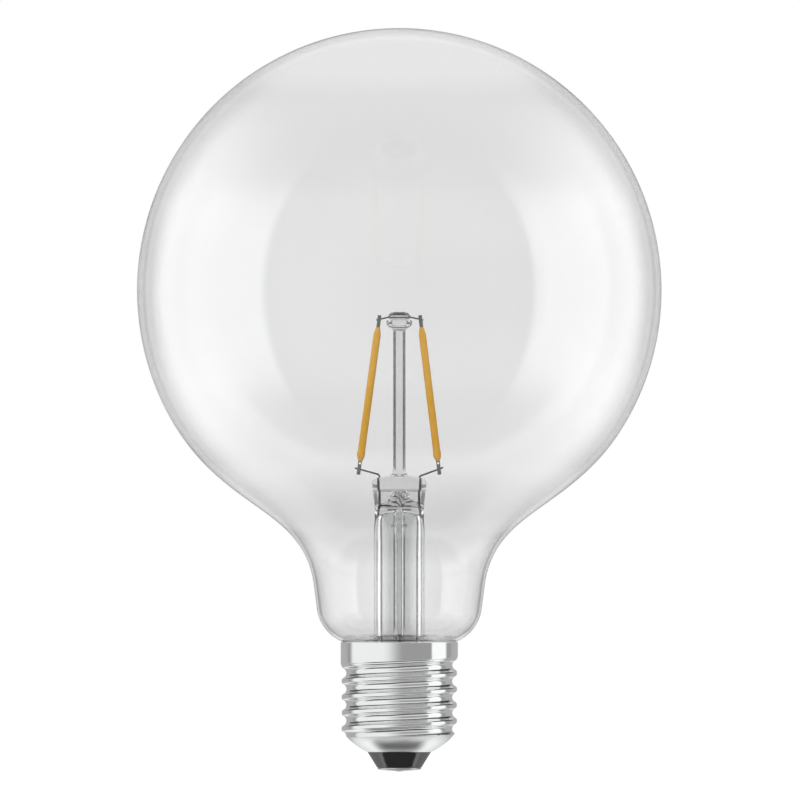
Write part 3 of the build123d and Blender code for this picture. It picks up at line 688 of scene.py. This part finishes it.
def shell_r(turn, z):
    """Radius of the shell's outside: the least of the drawn blank and of the groove's turns, run together.

    A groove's section is a root arc that runs into two crest arcs. Its root climbs by the pitch in a turn,
    and on its last stretch it moves out until it leaves the skirt. Two faint waves are left by the rolls.
    """
    bowl = BOWL_CENTRE[0] + np.sqrt(BOWL_ARC**2 - (BOWL_CENTRE[1] - np.minimum(z, BOWL_EDGE_Z)) ** 2)
    lift = np.clip((z - SKIRT_FOOT_Z) / EDGE_SOFT + 0.5, 0, 1)
    wall = CREST_R + (SKIRT_R - CREST_R) * lift**2 * (3 - 2 * lift)
    blank = np.where(z < BOWL_EDGE_Z, bowl, wall) + 0 * turn
    depth = CREST_R - ROOT_R + CREST_TRIM
    half = PITCH / 2
    arcs = (depth**2 + half**2) / (2 * depth)
    root = arcs - CREST_ARC
    for k in range(GROOVES):
        root_z = GROOVE_TOP_Z + PITCH * (turn / (2 * pi) - k)
        leaving = np.clip(turn / (2 * pi * FADE_TURNS), 0, 1) if k == 0 else 0
        off = np.abs(z - root_z)
        low = root - np.sqrt(np.maximum(root**2 - off**2, 0))
        high = depth - CREST_ARC + np.sqrt(np.maximum(CREST_ARC**2 - (half - off) ** 2, 0))
        rise = np.where(off < root * half / arcs, low, np.where(off < half, high, depth + off - half))
        groove = ROOT_R + leaving * (SKIRT_R + FADE_CLEAR - ROOT_R) + rise
        blank = -EDGE_ROUND * np.logaddexp(-blank / EDGE_ROUND, -groove / EDGE_ROUND)
    rolled = np.clip((z - HEM[1]) / ROLLED_FADE[0], 0, 1) * np.clip((ROLLED_TOP_Z - z) / ROLLED_FADE[1], 0, 1)
    return blank + rolled * sum(size * np.sin(count * turn + rate * z) for size, count, rate in ROLLED_WAVES)


def wrapped(radius, turn, z):
    """Grid of points at a radius, an angle round the axis and a height."""
    return np.stack([radius * np.cos(turn), radius * np.sin(turn), z + 0 * turn], -1)


turn = turns(SHELL_COLS)[None]
climb = np.linspace(HEM[1] + HEM_ROUND, RIM_Z - RIM_ROUND, SHELL_ROWS)[:, None]
descent = np.linspace(RIM_Z - RIM_ROUND, HEM[1] + SHELL_WALL + LINING_CLEAR, LINING_ROWS)[:, None]
hem = np.array([(HEM_HOLE_R, HEM[1]), (HEM[0] - 0.1, HEM[1]), (HEM[0] + 0.03, HEM[1] + 0.04)])
rim = np.array([
    (SKIRT_R - 0.02, RIM_Z - 0.02), (SKIRT_R - RIM_ROUND, RIM_Z),
    (SKIRT_R - SHELL_WALL + RIM_ROUND, RIM_Z), (SKIRT_R - SHELL_WALL + 0.01, RIM_Z - 0.02),
])
hem_inside = np.array([(HEM[0], HEM[1] + SHELL_WALL), (HEM_HOLE_R, HEM[1] + SHELL_WALL)])
shell_skin = np.vstack([
    lathe(hem, SHELL_COLS),
    wrapped(shell_r(turn, climb), turn, climb),
    lathe(rim, SHELL_COLS),
    wrapped(shell_r(turn, descent) - SHELL_WALL, turn, descent),
    lathe(hem_inside, SHELL_COLS),
])
cap_metal, place = new_finish("bright_sheet")
drawn_lines = place.stretched((0.15, 0.15, 1)).noise(9000, 3)
smear = place.noise(160, 3)
z = place.node("ShaderNodeSeparateXYZ", None, {0: place}, 2)
in_bowl = place.math("LESS_THAN", z, BOWL_EDGE_Z * MM)
surface(place, {
    "Base Color": smear.blend((0.90, 0.905, 0.91), (0.83, 0.835, 0.84)),
    "Metallic": 1.0,
    "Roughness": 0.06 + 0.06 * smear + 0.13 * in_bowl,
    "Normal": drawn_lines.bump(0.000003),
})
piece("screw_shell", [[shell_skin]], cap_metal, ["cap_shell"])

# Insulator. Black glass was poured into the foot of the shell and pressed, so it fills the bowl behind the
# hem and stands out below it as a short glossy cone with a rounded lower edge.
POUR_HOLE_R = 1.6
POUR_FOOT_Z = 0.9
POUR_TOP_Z = 7.36
POUR_GAP = 0.02
POUR_COLS = 128

insulator_profile = np.vstack([
    [(POUR_HOLE_R, POUR_FOOT_Z), (4.85, POUR_FOOT_Z)],
    flow([(4.95, POUR_FOOT_Z), (5.1, 0.94), (5.2, 1.05), (5.28, 1.2)], 4),
    np.linspace((5.3, 1.23), (7.22, 4.33), 14),
    [(7.3, 4.44), (7.25, 4.455), (HEM_HOLE_R, 4.455), (HEM_HOLE_R, 4.765), (7.7, 4.765)],
    arc(BOWL_CENTRE, BOWL_ARC - SHELL_WALL - POUR_GAP, -61.5, -46.7, 12),
    [(POUR_HOLE_R, POUR_TOP_Z)],
])
black_glass, place = new_finish("black_glass")
pour = place.noise(350, 3)
surface(place, {
    "Base Color": pour.blend((0.010, 0.011, 0.010), (0.016, 0.018, 0.016)),
    "Roughness": 0.05 + 0.06 * pour,
    "IOR": 2.2,
    "Normal": pour.bump(0.00004),
})
insulator_skin = lathe(insulator_profile, POUR_COLS)
piece("pressed_insulator", [[insulator_skin]], black_glass, ["cap_insulator"])

# Centre contact. A round dished plate of nickel-plated brass is held by the insulator, and a bead of solder
# in its middle closes the hole through which the wire comes.
HOLE_R = 0.5
DISH_R = 4.8
DISH_Z = 0.175
DISH_RISE = 0.3
CONTACT_R = 5.0
CONTACT_TOP_Z = 0.89
CONTACT_COLS = 96
SOLDER_COLS = 48
SOLDER_WAVER = 0.03

dish_r = np.linspace(HOLE_R, DISH_R, 16)
contact_profile = np.vstack([
    np.stack([dish_r, DISH_Z + DISH_RISE * (dish_r / CONTACT_R) ** 2], 1),
    flow([(4.9, 0.48), (4.98, 0.56), (CONTACT_R, 0.68), (4.98, 0.82), (4.9, CONTACT_TOP_Z)], 4),
    [(HOLE_R, CONTACT_TOP_Z)],
])
contact_metal, place = new_finish("plated_contact")
stain = place.noise(500, 4)
surface(place, {
    "Base Color": stain.blend((0.70, 0.69, 0.66), (0.52, 0.51, 0.48)),
    "Metallic": 1.0,
    "Roughness": 0.2 + 0.2 * stain,
    "Normal": stain.bump(0.00003),
})
contact_skin = lathe(contact_profile, CONTACT_COLS)
piece("dished_contact", [[contact_skin]], contact_metal, ["contact_plate"])
bead = lathe(np.vstack([
    flow([(0.12, 0.002), (0.5, 0.03), (0.9, 0.12), (1.15, 0.24), (1.19, 0.33)], 5),
    [(HOLE_R, 0.34), (HOLE_R, 1.19)],
]), SOLDER_COLS)
bead_turn = np.arctan2(bead[..., 1], bead[..., 0])
bead[..., :2] *= (1 - SOLDER_WAVER + SOLDER_WAVER * np.sin(3 * bead_turn + 1))[..., None]
solder, place = new_finish("bright_solder")
skin = place.noise(2200, 3)
surface(place, {
    "Base Color": skin.blend((0.66, 0.66, 0.67), (0.50, 0.50, 0.51)),
    "Metallic": 1.0,
    "Roughness": 0.18 + 0.2 * skin,
    "Normal": skin.bump(0.00003),
})
piece("solder_bead", [bead], solder, ["contact_solder"])

# Studio. A pale round floor in a white room, with a wall of light on each side, a light overhead and grey
# between them. One soft key light stands at the front left, and the camera is far off, level with the middle
# of the lamp. The places and sizes of the key light and the camera are in metres.
FLOOR_R = 500.0
FLOOR_INNER_R = 2.0
FLOOR_RINGS = 24
FLOOR_COLS = 96
FLOOR_GLOW = 0.8
FLOOR_GREY = (0.35, 0.35, 0.35, 1)
FILL = 0.9  # level of the room on matt surfaces
MIRRORED_GREY = 0.36  # levels that metal and the outer face of the glass mirror
MIRRORED_LEFT = 0.6
MIRRORED_RIGHT = 0.75
MIRRORED_RING = 0.4
MIRRORED_EDGE = 0.1
MIRRORED_TOP = 0.6
MIRRORED_FLOOR = 0.3
MIRRORED_FLANK = 0.35
LINE_DARK = 0.9
FOOT_DARK = 0.85
INNER_GREY = 0.33  # levels that the glass mirrors inside
INNER_SIDES = 1.62
INNER_TOP = 1.05
CORNER_DARK = 0.45
GAP_DARK = 0.85  # taken from the white that shows straight through the glass
SKY_DARK = 0.3
AHEAD = 1.01  # just over 1, so that nothing is divided by 0 straight ahead
KEY_WATTS = 65.0
KEY_SIZE = 1.4
KEY_PLACE = (-0.6, -2.5, 1.1)
KEY_AIM = (0, 0, 0.09)
CAMERA_PLACE = (0.00016, -6.0, 0.08495)
FRAME_WIDTH = 0.18294  # seen at the lamp's axis
CAMERA_REACH = 20.0
SENSOR = 36.0  # millimetres

scene = bpy.context.scene
scene.view_settings.view_transform = "Standard"

# The floor is rings of quads about a middle polygon. It glows white to the camera alone, keeps the lamp's
# shadow, and is open to mirrored and refracted rays, which see the room in its place.
rings = np.geomspace(FLOOR_INNER_R, FLOOR_R, FLOOR_RINGS)[:, None]
floor_points = wrapped(rings, turns(FLOOR_COLS), 0 * rings).reshape(-1, 3)
floor_index = np.arange(FLOOR_RINGS * FLOOR_COLS).reshape(FLOOR_RINGS, FLOOR_COLS)
near, far = floor_index[:-1], floor_index[1:]
floor_quads = np.stack([near, far, np.roll(far, -1, 1), np.roll(near, -1, 1)], -1)
floor_mesh = bpy.data.meshes.new("floor")
floor_faces = [*floor_quads.reshape(-1, 4).tolist(), floor_index[0].tolist()]
floor_mesh.from_pydata(floor_points * MM, [], floor_faces)
floor = bpy.data.objects.new("floor", floor_mesh)
bpy.context.collection.objects.link(floor)

pale, place = new_finish("pale_floor")
camera_ray, glossy, through = place.node(
    "ShaderNodeLightPath", out=("Is Camera Ray", "Is Glossy Ray", "Is Transmission Ray"))
glow = place.node("ShaderNodeEmission", None, {"Strength": camera_ray * FLOOR_GLOW})
matt = place.node("ShaderNodeBsdfDiffuse", None, {"Color": FLOOR_GREY})
both = place.node("ShaderNodeAddShader", None, {0: glow, 1: matt})
open_to = place.node("ShaderNodeBsdfTransparent")
passed = place.math("MAXIMUM", glossy, through)
laid = place.node("ShaderNodeMixShader", None, {0: passed, 1: both, 2: open_to})
place.node("ShaderNodeOutputMaterial", None, {"Surface": laid})
floor_mesh.materials.append(pale)

# The bearing is in degrees, 0 behind the camera and positive to its right. A wall that mirrors a direction
# to the camera leans by the angle whose sine is lean, and is turned from the front by that of tangent swing.
room = bpy.data.worlds.new("white_room")
scene.world = room
room.use_nodes = True
room.node_tree.nodes.clear()
direction = Sock(room.node_tree).node("ShaderNodeTexCoord", out="Generated")
east, north, height = direction.node("ShaderNodeSeparateXYZ", None, {0: direction}, (0, 1, 2))
bearing = direction.math("ARCTAN2", east, north * -1) * (180 / pi)
away, slant = abs(bearing), abs(height)
lean = height / direction.math("SQRT", 2 * AHEAD - 2 * north)
swing = abs(east) / (AHEAD - north)
over = fade(height, 0.1, 0.65) * fade(north, -0.3, 0.3)
under = fade(height, -0.35, -0.75) * fade(north, -0.02, 0.1)
backdrop = fade(north, 0.90, 0.935)

# Mirrored by metal and by the outer face of the glass: a wall of light on each side, a paler ring above and
# below, dark lines on the thread's flanks, and a dark patch on the front of the bowl with paler flanks.
left_box = fade(bearing, -116, -102) * fade(bearing, 10, -34) * fade(height, -0.75, -0.45)
right_box = fade(bearing, 66, 69) * fade(bearing, 109, 103) * fade(height, -0.75, -0.45)
ring = fade(abs(lean), 0.08, 0.25) * fade(north, 0.3, -0.05) * (1 - left_box) * (1 - right_box)
above = fade(lean, 0.32, 0.44) * fade(lean, 0.82, 0.72) * fade(north, 0.9, 0.7)
below = fade(lean, -0.32, -0.44) * fade(lean, -0.68, -0.60) * fade(north, 0.06, -0.06)
edges = fade(away, 118, 130)
walls = MIRRORED_GREY + left_box * MIRRORED_LEFT + right_box * MIRRORED_RIGHT
front = (walls + ring * MIRRORED_RING + edges * MIRRORED_EDGE) * (1 - (above + below) * LINE_DARK)
foot = fade(lean, -0.68, -0.77) * fade(lean, -0.90, -0.82) * fade(swing, 0.8, 0.4)
flanks = fade(lean, -0.64, -0.74) * fade(swing, 0.35, 0.8)
extra = over * fade(lean, 0.7, 0.85) * MIRRORED_TOP + under * MIRRORED_FLOOR + flanks * MIRRORED_FLANK
mirrored = (front + extra) * (1 - foot * FOOT_DARK)

# Mirrored inside the glass: brighter side walls, the light overhead, the white backdrop and grey corners.
side_box = fade(away, 61, 66) * fade(away, 164, 120) * fade(height, 0.8, 0.28) * fade(height, -0.95, -0.36)
corner = fade(away, 134, 144) * fade(slant, 0.25, 0.05)
lights = INNER_GREY + side_box * INNER_SIDES + over * INNER_TOP
studio = backdrop + (1 - backdrop) * lights * (1 - corner * CORNER_DARK)

# Straight through the glass the room is white, but for grey gaps beside the backdrop and a duller sky, which
# draw the edges of the glass. The depth of a ray that was never mirrored is one more than its crossings.
gap = fade(away, 100, 124) * (1 - backdrop) * fade(slant, 0.14, 0.05)
open_white = (1 - gap * GAP_DARK) * (1 - fade(height, 0.1, 0.3) * SKY_DARK)
camera_ray, glossy, through, depth, crossings = direction.node("ShaderNodeLightPath", out=(
    "Is Camera Ray", "Is Glossy Ray", "Is Transmission Ray", "Ray Depth", "Transmission Depth"))
mirror = glossy * (1 - through)
bounced = fade(depth - crossings, 1.2, 1.8)
seen_through = bounced * studio + (1 - bounced) * open_white
level = camera_ray + through * seen_through + mirror * mirrored + (1 - camera_ray - through - mirror) * FILL
lit = direction.node("ShaderNodeBackground", None, {"Color": (1, 1, 1, 1), "Strength": level})
direction.node("ShaderNodeOutputWorld", None, {"Surface": lit})

key_data = bpy.data.lights.new("key", "AREA")
key_data.energy = KEY_WATTS
key_data.size = KEY_SIZE
key = bpy.data.objects.new("key", key_data)
key.location = KEY_PLACE
key.rotation_euler = (Vector(KEY_AIM) - key.location).to_track_quat("-Z", "Y").to_euler()
key.visible_glossy = False
key.visible_transmission = False
bpy.context.collection.objects.link(key)

camera_data = bpy.data.cameras.new("camera")
camera_data.sensor_width = SENSOR
camera_data.lens = SENSOR * -CAMERA_PLACE[1] / FRAME_WIDTH
camera_data.clip_end = CAMERA_REACH
camera = bpy.data.objects.new("camera", camera_data)
camera.location = CAMERA_PLACE
camera.rotation_euler = (pi / 2, 0, 0)
bpy.context.collection.objects.link(camera)
scene.camera = camera
